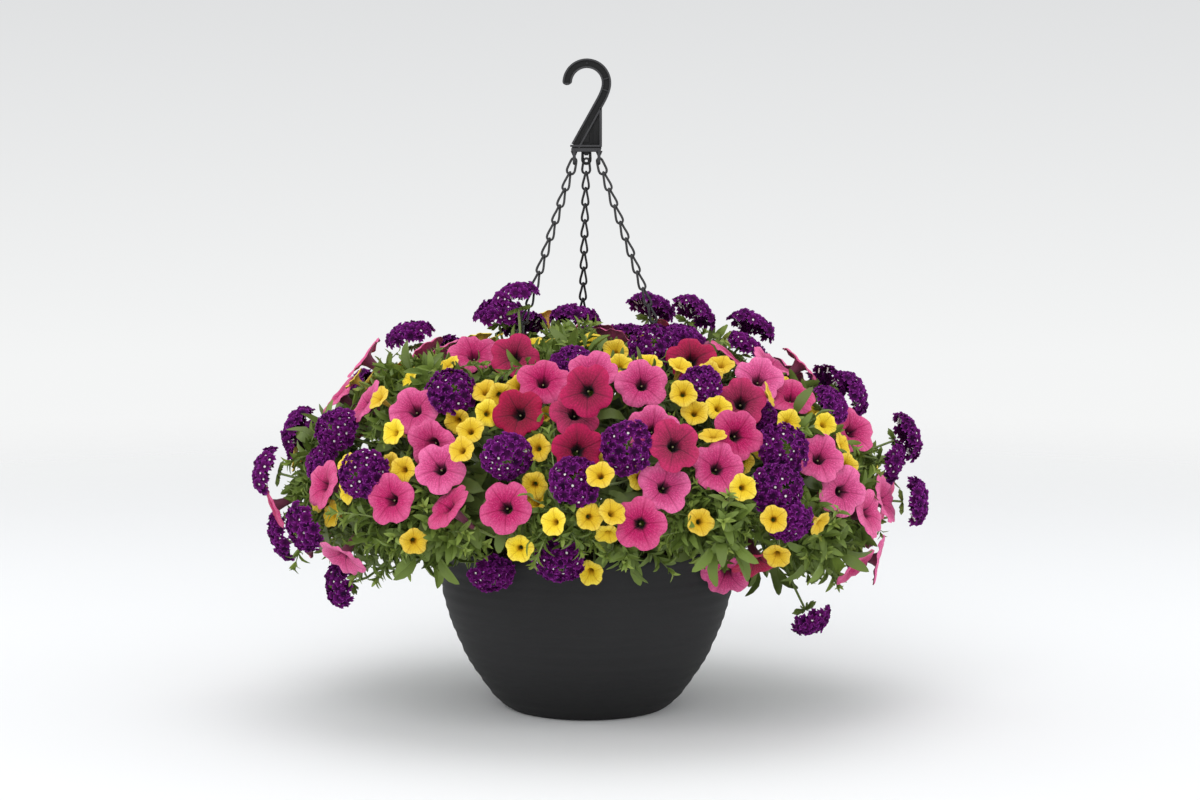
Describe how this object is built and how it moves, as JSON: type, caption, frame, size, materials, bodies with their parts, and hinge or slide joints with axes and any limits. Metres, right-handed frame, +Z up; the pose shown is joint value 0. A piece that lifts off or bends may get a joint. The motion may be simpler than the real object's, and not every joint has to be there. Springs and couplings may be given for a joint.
{
  "type": "flowering hanging basket",
  "caption": "Round ringed pot on a hook and chains, full of mixed trailing flowers in pink, magenta, yellow and purple with green leaves.",
  "frame": {"origin": "the hook's seat: the highest point of the inside of its arch, where it hangs", "axes": "+Z up, the flat hook lies in the X-Z plane with its mouth towards -X, the picture's viewer is at -Y"},
  "size_m": [0.674, 0.5472, 0.6475],
  "materials": {
    "pot": "matte",
    "hook": "satin",
    "chain": "satin",
    "soil": "matte",
    "leaf": "satin",
    "petunia": "matte",
    "petunia_deep": "matte",
    "calibrachoa": "matte",
    "verbena": "matte"
  },
  "bodies": {
    "root": {"calibrachoa_spray_1": "calibrachoa", "calibrachoa_spray_10": "calibrachoa", "calibrachoa_spray_11": "calibrachoa", "calibrachoa_spray_12": "calibrachoa", "calibrachoa_spray_13": "calibrachoa", "calibrachoa_spray_2": "calibrachoa", "calibrachoa_spray_3": "calibrachoa", "calibrachoa_spray_4": "calibrachoa", "calibrachoa_spray_5": "calibrachoa", "calibrachoa_spray_6": "calibrachoa", "calibrachoa_spray_7": "calibrachoa", "calibrachoa_spray_8": "calibrachoa", "calibrachoa_spray_9": "calibrachoa", "chain_1": "chain", "chain_2": "chain", "chain_3": "chain", "hook": "hook", "leafy_stem_1": "leaf", "leafy_stem_10": "leaf", "leafy_stem_11": "leaf", "leafy_stem_12": "leaf", "leafy_stem_13": "leaf", "leafy_stem_14": "leaf", "leafy_stem_2": "leaf", "leafy_stem_3": "leaf", "leafy_stem_4": "leaf", "leafy_stem_5": "leaf", "leafy_stem_6": "leaf", "leafy_stem_7": "leaf", "leafy_stem_8": "leaf", "leafy_stem_9": "leaf", "petunia_deep_spray_1": "petunia_deep", "petunia_deep_spray_2": "petunia_deep", "petunia_deep_spray_3": "petunia_deep", "petunia_spray_1": "petunia", "petunia_spray_10": "petunia", "petunia_spray_11": "petunia", "petunia_spray_12": "petunia", "petunia_spray_2": "petunia", "petunia_spray_3": "petunia", "petunia_spray_4": "petunia", "petunia_spray_5": "petunia", "petunia_spray_6": "petunia", "petunia_spray_7": "petunia", "petunia_spray_8": "petunia", "petunia_spray_9": "petunia", "pot": "pot", "soil": "soil", "verbena_spray_1": "verbena", "verbena_spray_10": "verbena", "verbena_spray_11": "verbena", "verbena_spray_12": "verbena", "verbena_spray_2": "verbena", "verbena_spray_3": "verbena", "verbena_spray_4": "verbena", "verbena_spray_5": "verbena", "verbena_spray_6": "verbena", "verbena_spray_7": "verbena", "verbena_spray_8": "verbena", "verbena_spray_9": "verbena"}
  },
  "joints": []
}
